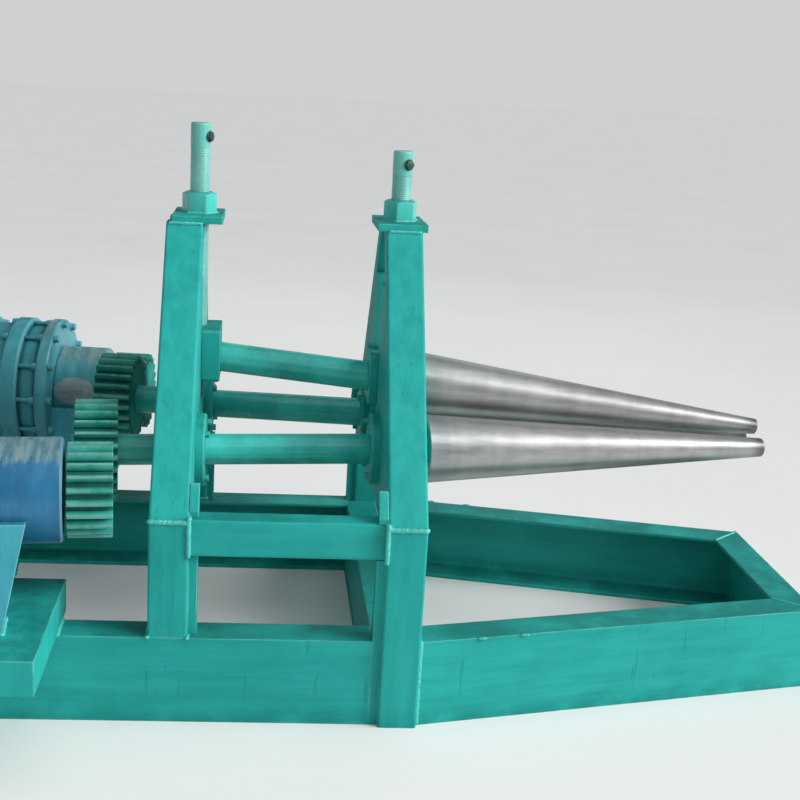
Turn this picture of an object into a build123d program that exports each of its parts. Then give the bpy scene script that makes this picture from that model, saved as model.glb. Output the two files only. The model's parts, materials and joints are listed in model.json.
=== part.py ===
from build123d import *
import math
import os

# Cone plate rolling machine, in millimetres.
# +X runs along the rolls towards their thin ends, -Y is the working side and +Z is up.
# The origin lies on the floor under the second stand, on the centre plane.

# Base frame of rolled channel steel lying on the floor
channel_height = 140.0
channel_flange = 58.0
channel_web = 6.0
channel_toe = 7.5
channel_root = 11.5
channel_toe_radius = 4.0
channel_root_radius = 9.0
base_width = 690.0
base_left = -1130.0
sill_end_gap = 14.0
nose_tip = 720.0
nose_tip_width = 375.0

# The two stands: bent legs that lean together under a cap plate
stand_pitch = 357.0
leg_width = 60.0
leg_depth = 40.0
leg_corner_radius = 4.0
leg_proud = {1: 0.0, 2: 10.0}
bend_height = 325.0
cap_underside = 734.0
leg_top_reach = 66.0
cap_width = 82.0
cap_thickness = 12.0
bar_thickness = 14.0
bar_depth = 25.0
bar_setback = 10.0
bar_above_bend = 52.0
tie_size = 58.0
tie_above_bend = 5.0

# Bearing plates between the legs, and the housings of the bottom rolls
plate_thickness = 16.0
plate_below_axis = 80.0
plate_height = 346.0
housing_flange_radius = 59.0
housing_flange_thickness = 15.0
housing_barrel_radius = 46.0
housing_barrel_setback = 8.0
housing_edge = 2.0

# Rolls: the bottom axes run towards one apex beyond the thin ends, and the top axis dips towards it
bottom_axis_height = 380.0
bottom_half_spacing = 112.0
bottom_apex_distance = 1000.0
top_axis_rise = 92.0
top_apex_distance = 920.0
shaft_radius = 25.0
cone_start = 46.0
cone_length = 608.0
bottom_cone_radius = 57.5
bottom_tip_radius = 16.0
top_cone_radius = 52.5
top_tip_radius = 13.5
tip_round = 3.0
shoulder_round = 2.0
top_shaft_overhang = 12.0

# Sliding blocks that carry the top roll, and the screws that move them
screw_offset = {1: 20.0, 2: 3.0}
block_half_width = 40.0
block_flange_half_width = 49.0
block_above = 50.0
block_below = 36.0
block_length = 82.0
block_edge = 3.0
block_travel_down = 35.0
screw_radius = 16.5
screw_length = 336.0
screw_edge = 2.0
screw_tip_radius = 12.0
screw_tip_length = 18.0
screw_hole_radius = 5.0
screw_hole_drop = 22.0
nut_across_flats = 50.0
nut_height = 34.0
nut_turn = {1: -6.0, 2: 13.0}
nut_chamfer_height = 4.0

# Spur gears
gear_module = 6.0
roll_gear_teeth = 25
pinion_teeth = 22
gear_width = 67.0
tooth_end_chamfer = 2.0
roll_gear_x = -485.0
pinion_drop = 20.0
pinion_shift = 7.0
tooth_backlash = 0.5
pressure_angle = math.radians(20.0)
shaft_end_past_gear = 6.0

# Drives: a geared motor on a platform beside each sill
platform_height = 52.0
platform_right = -522.0
platform_left = -1010.0
platform_reach = 195.0
platform_inset = 95.0
shaft_socket = 40.0
neck_radius = 79.0
neck_start = {"front": 39.0, "rear": 45.0}
neck_length = {"front": 164.0, "rear": 91.0}
disc_radius = 130.0
disc_thickness = 23.0
groove_length = 34.0
inner_disc_thickness = 32.0
ring_radius = 118.0
ring_length = 45.0
adapter_flange_radius = 100.0
adapter_length = 35.0
drive_edge = 3.0
motor_radius = 92.0
motor_core_radius = 82.0
motor_length = 230.0
end_shield_length = 22.0
fin_thickness = 4.0
fin_count = 36
cowl_radius = 98.0
cowl_length = 80.0
cowl_round = 14.0
terminal_box_size = (100.0, 90.0, 75.0)
terminal_box_sink = 15.0
terminal_lid_height = 12.0
terminal_lid_margin = 4.0
foot_plate = 16.0
foot_web = 14.0
foot_half_width_top = 88.0
foot_half_width_bottom = 140.0
foot_length = 114.0
foot_end_slope = 31.0
foot_top_drop = 23.0

# Clearances between pieces
running_fit = 0.05
seat_fit = 0.03
slide_gap = 0.5
screw_clearance = 6.0
window_clearance = 9.5

front_y = -base_width / 2
stand_x = {1: -stand_pitch, 2: 0.0}
inward = {1: 1.0, 2: -1.0}
tie_top = bend_height + tie_above_bend
bar_top = bend_height + bar_above_bend
plate_bottom = bottom_axis_height - plate_below_axis
plate_top = plate_bottom + plate_height


def bottom_y(x):
    """Distance of a bottom roll's axis from the centre plane."""
    return bottom_half_spacing * (1 - x / bottom_apex_distance)


def top_z(x):
    """Height of the top roll's axis above the floor."""
    return bottom_axis_height + top_axis_rise * (1 - x / top_apex_distance)


def channel(start, end, inward_side):
    """A rolled channel between two outer bottom points, with its flanges turned inwards."""
    run = Vector(*end) - Vector(*start)
    outline = Polygon(
        (0, 0),
        (channel_flange, 0),
        (channel_flange, channel_toe),
        (channel_web, channel_root),
        (channel_web, channel_height - channel_root),
        (channel_flange, channel_height - channel_toe),
        (channel_flange, channel_height),
        (0, channel_height),
        align=None,
    )
    toe_heights = (channel_toe, channel_height - channel_toe)
    toes = [v for v in outline.vertices() if any(abs(v.Y - height) < 0.01 for height in toe_heights)]
    outline = fillet(toes, channel_toe_radius)
    roots = [v for v in outline.vertices() if abs(v.X - channel_web) < 0.01]
    outline = fillet(roots, channel_root_radius)
    section = Plane(origin=start, x_dir=inward_side, z_dir=run.normalized())
    return extrude(section * outline, amount=run.length)


def cut_behind(solid, point, normal):
    """Keep what lies on the far side of a vertical plane."""
    return split(solid, bisect_by=Plane(origin=point, z_dir=normal), keep=Keep.TOP)


def rail(corner_a, corner_b, mitre_a, mitre_b):
    """A channel of the base frame, cut at each end by a vertical plane."""
    a = Vector(*corner_a, 0)
    b = Vector(*corner_b, 0)
    run = (b - a).normalized()
    side = Vector(-run.Y, run.X, 0)
    spare = run * (channel_flange * 1.5)
    solid = channel(tuple(a - spare), tuple(b + spare), tuple(side))
    solid = cut_behind(solid, tuple(a), mitre_a)
    return cut_behind(solid, tuple(b), mitre_b)


def mirrored(solid):
    """The same piece on the other side of the centre plane."""
    return mirror(solid, about=Plane.XZ)


parts = {}

# Sills, end sill and the cross sill under the second stand
sill_right = stand_x[2] - leg_width / 2 - sill_end_gap
parts["front_sill"] = rail((base_left, front_y), (sill_right, front_y), (1, -1, 0), (-1, 0, 0))
parts["rear_sill"] = mirrored(parts["front_sill"])
parts["left_end_sill"] = rail((base_left, -front_y), (base_left, front_y), (-1, -1, 0), (-1, 1, 0))
cross_end = base_width / 2 + leg_proud[2] - leg_depth
parts["cross_sill"] = channel(
    (sill_right, cross_end, 0),
    (sill_right, -cross_end, 0),
    (1, 0, 0),
)

# Tapering nose under the cones, mitred at its two outer corners
nose_start = stand_x[2] + leg_width / 2
tip_half = nose_tip_width / 2
nose_run = Vector(nose_tip - nose_start, -tip_half - front_y, 0).normalized()
corner_normal = Vector(nose_run.X, nose_run.Y + 1, 0)
parts["nose_front_rail"] = rail(
    (nose_start, front_y),
    (nose_tip, -tip_half),
    (1, 0, 0),
    tuple(corner_normal * -1),
)
parts["nose_rear_rail"] = mirrored(parts["nose_front_rail"])
parts["nose_end_rail"] = rail(
    (nose_tip, -tip_half),
    (nose_tip, tip_half),
    tuple(corner_normal),
    (corner_normal.X, -corner_normal.Y, 0),
)


def leg_tilt(stand):
    """Angle of a leg's upper part from the vertical."""
    face = base_width / 2 + leg_proud[stand]
    return math.atan2(face - leg_top_reach, cap_underside - bend_height)


def leg_outline(stand):
    """Side view of a front leg: upright at the foot and leaning inwards above the bend."""
    face = base_width / 2 + leg_proud[stand]
    foot = channel_height if stand == 1 else 0.0
    tilt = leg_tilt(stand)
    inner_bend = bend_height - leg_depth * math.tan(tilt / 2)
    return Polygon(
        (-face, foot),
        (-face + leg_depth, foot),
        (-face + leg_depth, inner_bend),
        (-leg_top_reach + leg_depth / math.cos(tilt), cap_underside),
        (-leg_top_reach, cap_underside),
        (-face, bend_height),
        align=None,
    )


def crosswise(outline, left, width):
    """An outline drawn across the machine, given a width along it."""
    return extrude(Plane(origin=(left, 0, 0), x_dir=(0, 1, 0), z_dir=(1, 0, 0)) * outline, amount=width)


def front_leg(stand):
    """A bent leg of one stand on the working side, with its stiffening bar."""
    foot = channel_height if stand == 1 else 0.0
    left = stand_x[stand] - leg_width / 2
    leg = crosswise(leg_outline(stand), left, leg_width)
    long_edges = [
        edge
        for edge in leg.edges()
        if abs(edge.tangent_at(0.5).X) < 0.5 and abs(edge.tangent_at(0.5).Z) > 0.1
    ]
    leg = fillet(long_edges, leg_corner_radius)
    bar_x = stand_x[stand] + inward[stand] * (leg_width + bar_thickness) / 2
    bar_y = front_y - leg_proud[stand] + bar_setback + bar_depth / 2
    leaning = crosswise(leg_outline(stand), left - leg_width, 3 * leg_width)
    for low, high in ((foot, tie_top - tie_size), (tie_top, bar_top)):
        bar = Pos(bar_x, bar_y, (low + high) / 2) * Box(bar_thickness, bar_depth, high - low)
        leg = leg + (bar & leaning)
    screw_x = stand_x[stand] + inward[stand] * screw_offset[stand]
    passage = Pos(screw_x, 0, cap_underside) * Cylinder(screw_radius + screw_clearance, cap_underside)
    return leg - passage


for stand in (1, 2):
    leg = front_leg(stand)
    parts[f"stand_{stand}_front_leg"] = leg
    parts[f"stand_{stand}_rear_leg"] = mirrored(leg)

# The tie between the two front legs, just below their bends
tie_left = stand_x[1] + leg_width / 2
tie_right = stand_x[2] - leg_width / 2
tie = Pos((tie_left + tie_right) / 2, front_y + leg_depth / 2, tie_top - tie_size / 2) * Box(
    tie_right - tie_left, leg_depth, tie_size
)
parts["front_tie"] = fillet(tie.edges().filter_by(Axis.X), leg_corner_radius)


def bottom_axis(x):
    """A place on the front bottom roll's axis, with its Z along the axis."""
    direction = Vector(1, bottom_half_spacing / bottom_apex_distance, 0)
    return Plane(origin=(x, -bottom_y(x), bottom_axis_height), z_dir=direction)


def top_axis(x):
    """A place on the top roll's axis, with its Z along the axis."""
    direction = Vector(1, 0, -top_axis_rise / top_apex_distance)
    return Plane(origin=(x, 0, top_z(x)), z_dir=direction)


def inner_leg_y(stand, height):
    """Distance of a leg's inner face from the centre plane at some height."""
    tilt = leg_tilt(stand)
    foot_face = base_width / 2 + leg_proud[stand] - leg_depth
    inner_bend = bend_height - leg_depth * math.tan(tilt / 2)
    return foot_face - max(0.0, height - inner_bend) * math.tan(tilt)


def plate_middle(stand):
    """Where the middle of a stand's bearing plate lies along the machine."""
    return stand_x[stand] + inward[stand] * (leg_width - plate_thickness) / 2


def bearing_plate(stand):
    """The plate between the legs, with two housing seats and an open slot for the sliding block."""
    middle_x = plate_middle(stand)
    inner_bend = bend_height - leg_depth * math.tan(leg_tilt(stand) / 2)
    knee_height = max(plate_bottom, min(plate_top, inner_bend))
    low = inner_leg_y(stand, plate_bottom)
    knee = inner_leg_y(stand, knee_height)
    high = inner_leg_y(stand, plate_top)
    corners = [(-low, plate_bottom), (low, plate_bottom)]
    if knee_height > plate_bottom:
        corners.append((knee, knee_height))
    corners.append((high, plate_top))
    corners.append((-high, plate_top))
    if knee_height > plate_bottom:
        corners.append((-knee, knee_height))
    plate = crosswise(Polygon(*corners, align=None), middle_x - plate_thickness / 2, plate_thickness)
    slot_low = top_z(middle_x) - block_below - block_travel_down - window_clearance
    slot_height = plate_top - slot_low
    slot = Pos(middle_x, 0, plate_top) * Box(2 * plate_thickness, 2 * block_half_width, 2 * slot_height)
    plate = plate - slot
    for side in (-1, 1):
        seat = Pos(middle_x, side * bottom_y(middle_x), bottom_axis_height) * Rot(0, 90, 0)
        plate = plate - seat * Cylinder(housing_barrel_radius + seat_fit, 2 * plate_thickness)
    return plate


def bottom_housing(stand):
    """Flanged housing of the front bottom roll, bored along the roll's own axis."""
    side = inward[stand]
    inner_x = stand_x[stand] + side * leg_width / 2
    seat = Plane(
        origin=(inner_x, -bottom_y(plate_middle(stand)), bottom_axis_height),
        x_dir=(0, 1, 0),
        z_dir=(side, 0, 0),
    )
    flange = extrude(seat * Circle(housing_flange_radius), amount=housing_flange_thickness)
    rim = flange.edges().sort_by(Axis.X)[-1 if side > 0 else 0]
    flange = chamfer(rim, housing_edge)
    barrel = extrude(seat * Circle(housing_barrel_radius), amount=housing_barrel_setback - leg_width)
    bore = bottom_axis(inner_x) * Cylinder(shaft_radius + running_fit, 4 * leg_width)
    return flange + barrel - bore


for stand in (1, 2):
    parts[f"stand_{stand}_bearing_plate"] = bearing_plate(stand)
    housing = bottom_housing(stand)
    parts[f"stand_{stand}_front_housing"] = housing
    parts[f"stand_{stand}_rear_housing"] = mirrored(housing)


def sliding_block(stand):
    """The block that slides in the bearing plate's slot and carries the top roll's shaft."""
    middle_x = plate_middle(stand)
    block_x = stand_x[stand] + inward[stand] * screw_offset[stand]
    low = top_z(middle_x) - block_below
    high = top_z(middle_x) + block_above
    block = Pos(block_x, 0, (low + high) / 2) * Box(block_length, 2 * block_flange_half_width, high - low)
    block = chamfer(block.edges().filter_by(Axis.X), block_edge)
    groove_width = plate_thickness + 2 * slide_gap
    groove_depth = block_flange_half_width - block_half_width + slide_gap
    groove_y = block_flange_half_width - groove_depth / 2
    for side in (-1, 1):
        block = block - Pos(middle_x, side * groove_y, (low + high) / 2) * Box(
            groove_width, groove_depth, 2 * (high - low)
        )
    block = block - top_axis(block_x) * Cylinder(shaft_radius + running_fit, 3 * block_length)
    pocket_depth = screw_tip_length + slide_gap
    pocket = Pos(block_x, 0, high - pocket_depth / 2) * Cylinder(screw_tip_radius + running_fit, pocket_depth)
    return block - pocket


def adjusting_screw(stand):
    """A long screw, plain tip down, with a cross hole for the tommy bar near its top."""
    screw_x = stand_x[stand] + inward[stand] * screw_offset[stand]
    seat = top_z(plate_middle(stand)) + block_above
    shank = Pos(screw_x, 0, seat + screw_length / 2) * Cylinder(screw_radius, screw_length)
    shank = chamfer(shank.edges().sort_by(Axis.Z)[-1], screw_edge)
    tip = Pos(screw_x, 0, seat - screw_tip_length / 2) * Cylinder(screw_tip_radius, screw_tip_length)
    hole = Pos(screw_x, 0, seat + screw_length - screw_hole_drop) * Rot(0, 90, 0)
    return shank + tip - hole * Cylinder(screw_hole_radius, 3 * screw_radius)


# Round pieces and boxes that stand on their lower face
on_base = (Align.CENTER, Align.CENTER, Align.MIN)


def hexagon_nut(screw_x, turn):
    """The hexagon nut on a cap plate, chamfered at its top and left as it was tightened."""
    base = Plane(origin=(screw_x, 0, cap_underside + cap_thickness))
    hexagon = RegularPolygon(nut_across_flats / 2, 6, major_radius=False, rotation=turn)
    corner_radius = nut_across_flats / math.sqrt(3)
    envelope = base * Cylinder(corner_radius, nut_height, align=on_base)
    envelope = chamfer(envelope.edges().sort_by(Axis.Z)[-1], nut_chamfer_height, 2 * nut_chamfer_height)
    nut = extrude(base * hexagon, amount=nut_height) & envelope
    return nut - base * Cylinder(screw_radius + running_fit, 4 * nut_height)


for stand in (1, 2):
    parts[f"top_block_{stand}"] = sliding_block(stand)
    parts[f"screw_{stand}"] = adjusting_screw(stand)
    screw_x = stand_x[stand] + inward[stand] * screw_offset[stand]
    cap = Pos(screw_x, 0, cap_underside + cap_thickness / 2) * Box(cap_width, 2 * leg_top_reach, cap_thickness)
    cap = cap - Pos(screw_x, 0, cap_underside) * Cylinder(screw_radius + slide_gap, 3 * cap_thickness)
    parts[f"stand_{stand}_cap_plate"] = cap
    parts[f"stand_{stand}_nut"] = hexagon_nut(screw_x, nut_turn[stand])


def cone_roll(place, left_length, big_radius, small_radius):
    """A turned roll: a round shaft running into a long cone, drawn as half its section and revolved."""
    outline = Polygon(
        (0, -left_length),
        (shaft_radius, -left_length),
        (shaft_radius, 0),
        (big_radius, 0),
        (small_radius, cone_length),
        (0, cone_length),
        align=None,
    )
    section = Plane(origin=place.origin, x_dir=place.x_dir, z_dir=place.y_dir * -1)
    roll = revolve(section * outline, axis=Axis(place.origin, place.z_dir), revolution_arc=360)
    rings = roll.edges().filter_by(GeomType.CIRCLE)
    tip_edge = rings.sort_by(Axis(place.origin, place.z_dir))[-1]
    roll = fillet(tip_edge, tip_round)
    shoulder_edge = roll.edges().filter_by(GeomType.CIRCLE).sort_by(SortBy.RADIUS)[-1]
    return fillet(shoulder_edge, shoulder_round)


bottom_slope = math.hypot(1, bottom_half_spacing / bottom_apex_distance)
bottom_left = (cone_start - roll_gear_x) * bottom_slope + gear_width / 2 + shaft_end_past_gear
front_roll = cone_roll(bottom_axis(cone_start), bottom_left, bottom_cone_radius, bottom_tip_radius)
parts["front_bottom_roll"] = front_roll
parts["rear_bottom_roll"] = mirrored(front_roll)
top_slope = math.hypot(1, top_axis_rise / top_apex_distance)
top_left_x = stand_x[1] + screw_offset[1] - block_length / 2 - top_shaft_overhang
top_left = (cone_start - top_left_x) * top_slope
parts["top_roll"] = cone_roll(top_axis(cone_start), top_left, top_cone_radius, top_tip_radius)


def involute(angle):
    """The involute function of a pressure angle."""
    return math.tan(angle) - angle


def gear_outline(teeth):
    """Points round a spur gear with a tooth on its X axis."""
    pitch = gear_module * teeth / 2
    base = pitch * math.cos(pressure_angle)
    tip = pitch + gear_module
    root = pitch - 1.25 * gear_module
    half_tooth = math.pi / (2 * teeth) - tooth_backlash / (4 * pitch)
    flank = []
    for radius in (root, base, pitch, (pitch + tip) / 2, tip):
        pressure = math.acos(min(1.0, base / radius))
        flank.append((radius, half_tooth + involute(pressure_angle) - involute(pressure)))
    points = []
    for tooth in range(teeth):
        middle = 2 * math.pi * tooth / teeth
        for radius, turn in flank:
            points.append((radius * math.cos(middle - turn), radius * math.sin(middle - turn)))
        for radius, turn in reversed(flank):
            points.append((radius * math.cos(middle + turn), radius * math.sin(middle + turn)))
    return points


def spur_gear(place, teeth, turn_degrees):
    """A straight-toothed gear centred on a place, its tooth ends chamfered as on the lathe."""
    outline = Polygon(*gear_outline(teeth), align=None)
    blank = extrude(Rot(0, 0, turn_degrees) * outline, amount=gear_width / 2, both=True)
    tip = gear_module * (teeth / 2 + 1)
    turned = Cylinder(tip + slide_gap, gear_width)
    turned = chamfer(turned.edges().filter_by(GeomType.CIRCLE), tooth_end_chamfer)
    return place * (blank & turned)


# The gear on each bottom roll and the pinion that meshes with it, outboard and a little lower
centre_distance = gear_module * (roll_gear_teeth + pinion_teeth) / 2
pinion_out = math.sqrt(centre_distance**2 - pinion_drop**2)
axis_yaw = math.atan2(bottom_half_spacing, bottom_apex_distance)
along = Vector(math.cos(axis_yaw), math.sin(axis_yaw), 0)
outboard = Vector(math.sin(axis_yaw), -math.cos(axis_yaw), 0)
roll_gear_centre = Vector(roll_gear_x, -bottom_y(roll_gear_x), bottom_axis_height)
pinion_centre = roll_gear_centre + outboard * pinion_out - along * pinion_shift - Vector(0, 0, pinion_drop)
roll_gear_place = Plane(origin=roll_gear_centre, x_dir=outboard, z_dir=along)
pinion_place = Plane(origin=pinion_centre, x_dir=outboard, z_dir=along)
mesh_turn = math.degrees(math.atan2(-pinion_drop * roll_gear_place.y_dir.Z, pinion_out))

roll_gear = spur_gear(roll_gear_place, roll_gear_teeth, mesh_turn)
roll_gear = roll_gear - roll_gear_place * Cylinder(shaft_radius + seat_fit, 2 * gear_width)
parts["front_roll_gear"] = roll_gear
parts["rear_roll_gear"] = mirrored(roll_gear)
pinion = spur_gear(pinion_place, pinion_teeth, mesh_turn + 180 + 180 / pinion_teeth)
behind_pinion = Plane(origin=pinion_centre, x_dir=outboard, z_dir=along * -1)


def drum(radius, low, length):
    """A round stretch of the front drive, measured back from the pinion's middle."""
    return behind_pinion * Pos(0, 0, low) * Cylinder(radius, length, align=on_base)


def flange_disc(low, length):
    """A bolting disc of the reducer, with its rims broken."""
    disc = drum(disc_radius, low, length)
    return chamfer(disc.edges().filter_by(GeomType.CIRCLE), drive_edge)


def finned_motor(low):
    """Motor body with cooling fins between its end shields, and the terminal box on top."""
    middle = low + motor_length / 2
    motor = drum(motor_core_radius, low, motor_length)
    motor = motor + drum(motor_radius, low, end_shield_length)
    motor = motor + drum(motor_radius, low + motor_length - end_shield_length, end_shield_length)
    fin_root = motor_core_radius - fin_thickness
    fin_height = motor_radius - drive_edge - fin_root
    fin_length = motor_length - end_shield_length
    fin = Pos(fin_root + fin_height / 2, 0, 0) * Box(fin_height, fin_thickness, fin_length)
    place = behind_pinion * Pos(0, 0, middle)
    motor = motor + [place * turn * fin for turn in PolarLocations(0, fin_count)]
    length, width, height = terminal_box_size
    box_low = motor_radius - terminal_box_sink
    top = Plane(origin=place.position + Vector(0, 0, box_low), x_dir=along, z_dir=(0, 0, 1))
    body_length = length - 2 * terminal_lid_margin
    body_width = width - 2 * terminal_lid_margin
    motor = motor + top * Box(body_length, body_width, height, align=on_base)
    lid_place = top * Pos(0, 0, height - terminal_lid_height)
    lid = lid_place * Box(length, width, terminal_lid_height, align=on_base)
    return motor + fillet(lid.edges().filter_by(Axis.Z), terminal_lid_height / 2)


def reducer_foot(side, disc_start):
    """Welded support under the neck: splayed webs on a base plate, with a saddle between them."""
    low = disc_start - foot_length if side == "front" else neck_start[side]
    span = disc_start - slide_gap - low
    floor = channel_height + platform_height
    start = (behind_pinion * Pos(0, 0, low)).position
    end_plane = Plane(origin=(start.X, start.Y, floor), x_dir=outboard, z_dir=along * -1)
    rise = pinion_centre.Z - foot_top_drop - floor
    up = 1 if end_plane.y_dir.Z > 0 else -1
    splay = (foot_half_width_bottom - foot_half_width_top) / rise
    inner_bottom = foot_half_width_bottom - foot_web - splay * foot_plate
    inner_top = foot_half_width_top - foot_web
    outer = Polygon(
        (-foot_half_width_bottom, 0),
        (foot_half_width_bottom, 0),
        (foot_half_width_top, up * rise),
        (-foot_half_width_top, up * rise),
        align=None,
    )
    inner = Polygon(
        (-inner_bottom, up * foot_plate),
        (inner_bottom, up * foot_plate),
        (inner_top, up * rise),
        (-inner_top, up * rise),
        align=None,
    )
    foot = extrude(end_plane * outer, amount=span)
    hollow = extrude(end_plane * inner, amount=span)
    saddle_start = end_plane.origin - along * ((span - foot_web) / 2)
    saddle_plane = Plane(origin=saddle_start, x_dir=outboard, z_dir=along * -1)
    saddle = hollow & extrude(saddle_plane * outer, amount=foot_web)
    foot = foot - hollow + saddle
    slope = math.atan2(foot_end_slope, rise)
    top_point = end_plane.origin + Vector(0, 0, rise)
    sloped = Plane(origin=top_point, z_dir=along * -math.cos(slope) + Vector(0, 0, math.sin(slope)))
    foot = split(foot, bisect_by=sloped, keep=Keep.TOP)
    return foot - drum(neck_radius + seat_fit, neck_start[side] - motor_length, 2 * motor_length + disc_start)


def drive(side):
    """Pinion with its shaft, reducer, foot and motor of one drive, on the working side."""
    start = neck_start[side]
    shaft = drum(shaft_radius, -gear_width / 2, gear_width / 2 + start + shaft_socket)
    disc_start = start + neck_length[side]
    groove_start = disc_start + disc_thickness
    inner_disc_start = groove_start + groove_length
    ring_start = inner_disc_start + inner_disc_thickness
    rear_disc_start = ring_start + ring_length
    adapter_start = rear_disc_start + disc_thickness
    motor_start = adapter_start + adapter_length
    cowl_start = motor_start + motor_length
    neck = drum(neck_radius, start, neck_length[side])
    neck = chamfer(neck.edges().filter_by(GeomType.CIRCLE), drive_edge)
    neck = neck + flange_disc(disc_start, disc_thickness)
    neck = neck - drum(shaft_radius + running_fit, start, shaft_socket + slide_gap)
    housing = drum(ring_radius, groove_start, rear_disc_start - groove_start)
    housing = housing + flange_disc(inner_disc_start, inner_disc_thickness)
    housing = housing + flange_disc(rear_disc_start, disc_thickness)
    adapter = behind_pinion * Pos(0, 0, adapter_start) * Cone(
        ring_radius, adapter_flange_radius, adapter_length, align=on_base
    )
    cowl = drum(cowl_radius, cowl_start, cowl_length)
    far_rim = cowl.edges().filter_by(GeomType.CIRCLE).sort_by(Axis(pinion_centre, along * -1))[-1]
    return {
        "pinion": pinion + shaft,
        "reducer_neck": neck,
        "reducer_housing": housing + adapter,
        "motor": finned_motor(motor_start),
        "fan_cowl": fillet(far_rim, cowl_round),
        "reducer_foot": reducer_foot(side, disc_start),
    }


for side in ("front", "rear"):
    for name, solid in drive(side).items():
        parts[f"{side}_{name}"] = solid if side == "front" else mirrored(solid)

# Platforms that carry the drives, resting on the sills
platform_length = platform_right - platform_left
platform_depth = platform_reach + platform_inset
platform_y = front_y - platform_reach + platform_depth / 2
platform = Pos((platform_left + platform_right) / 2, platform_y, channel_height + platform_height / 2) * Box(
    platform_length, platform_depth, platform_height
)
parts["front_platform"] = platform
parts["rear_platform"] = mirrored(platform)

os.makedirs("parts", exist_ok=True)
for name, shape in parts.items():
    solids = shape.solids()
    shape = solids[0] if len(solids) == 1 else Compound(children=list(solids))
    export_step(shape, f"parts/{name}.step")
    print(name, len(solids), round(shape.volume))
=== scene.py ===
import json
import math

import bpy
from mathutils import Matrix, Vector


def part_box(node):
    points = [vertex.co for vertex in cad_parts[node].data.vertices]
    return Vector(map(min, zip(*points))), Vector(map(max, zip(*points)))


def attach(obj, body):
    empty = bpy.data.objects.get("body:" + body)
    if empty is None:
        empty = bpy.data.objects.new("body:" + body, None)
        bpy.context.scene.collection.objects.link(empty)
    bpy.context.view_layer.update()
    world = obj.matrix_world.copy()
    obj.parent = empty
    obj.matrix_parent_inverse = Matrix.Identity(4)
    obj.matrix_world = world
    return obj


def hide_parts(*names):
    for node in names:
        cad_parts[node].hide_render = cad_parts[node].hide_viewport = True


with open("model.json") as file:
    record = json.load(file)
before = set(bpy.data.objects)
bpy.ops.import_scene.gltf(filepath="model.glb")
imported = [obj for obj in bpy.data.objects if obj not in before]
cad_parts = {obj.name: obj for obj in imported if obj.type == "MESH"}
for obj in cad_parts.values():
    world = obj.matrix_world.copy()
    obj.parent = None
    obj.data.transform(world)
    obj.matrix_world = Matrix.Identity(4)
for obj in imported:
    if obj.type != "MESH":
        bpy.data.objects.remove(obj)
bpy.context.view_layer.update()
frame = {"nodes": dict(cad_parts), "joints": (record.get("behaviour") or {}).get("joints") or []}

# Studio: a pale floor under a broad low sun from the right and soft lamps. The camera stands on the
# working side, a little above the machine, as the photograph was taken.
bpy.ops.object.select_all(action="DESELECT")
scene = bpy.context.scene
scene.view_settings.view_transform = "Standard"

image_width = 800
sensor_width = 36.0
focal_pixels = 1280.0
axis_column = 339.0
camera_place = Vector((-0.2333, -2.1427, 0.9836))
camera_yaw = -0.0667
camera_pitch = 0.2517
camera_roll = 0.0484
bpy.ops.object.camera_add()
camera = bpy.context.active_object
camera.data.sensor_width = sensor_width
camera.data.lens = focal_pixels * sensor_width / image_width
camera.data.shift_x = 0.5 - axis_column / image_width
looking = Matrix.Rotation(camera_yaw, 4, "Z") @ Matrix.Rotation(math.pi / 2 - camera_pitch, 4, "X")
camera.matrix_world = Matrix.Translation(camera_place) @ looking @ Matrix.Rotation(camera_roll, 4, "Z")
scene.camera = camera


class Socket:
    """One output of a material's nodes. Arithmetic on it adds the Math nodes."""

    def __init__(self, finish, socket):
        self.finish = finish
        self.socket = socket

    def maths(self, operation, first, second):
        return self.finish.add("ShaderNodeMath", {"operation": operation}, {0: first, 1: second})

    def __add__(self, other):
        return self.maths("ADD", self, other)

    def __sub__(self, other):
        return self.maths("SUBTRACT", self, other)

    def __rsub__(self, other):
        return self.maths("SUBTRACT", other, self)

    def __mul__(self, other):
        return self.maths("MULTIPLY", self, other)

    __radd__ = __add__
    __rmul__ = __mul__

    def rising(self, low, high):
        """0 below the low value, 1 above the high one, and smooth between them."""
        settings = {"interpolation_type": "SMOOTHSTEP"}
        values = {"Value": self, "From Min": low, "From Max": high}
        return self.finish.add("ShaderNodeMapRange", settings, values)


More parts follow.
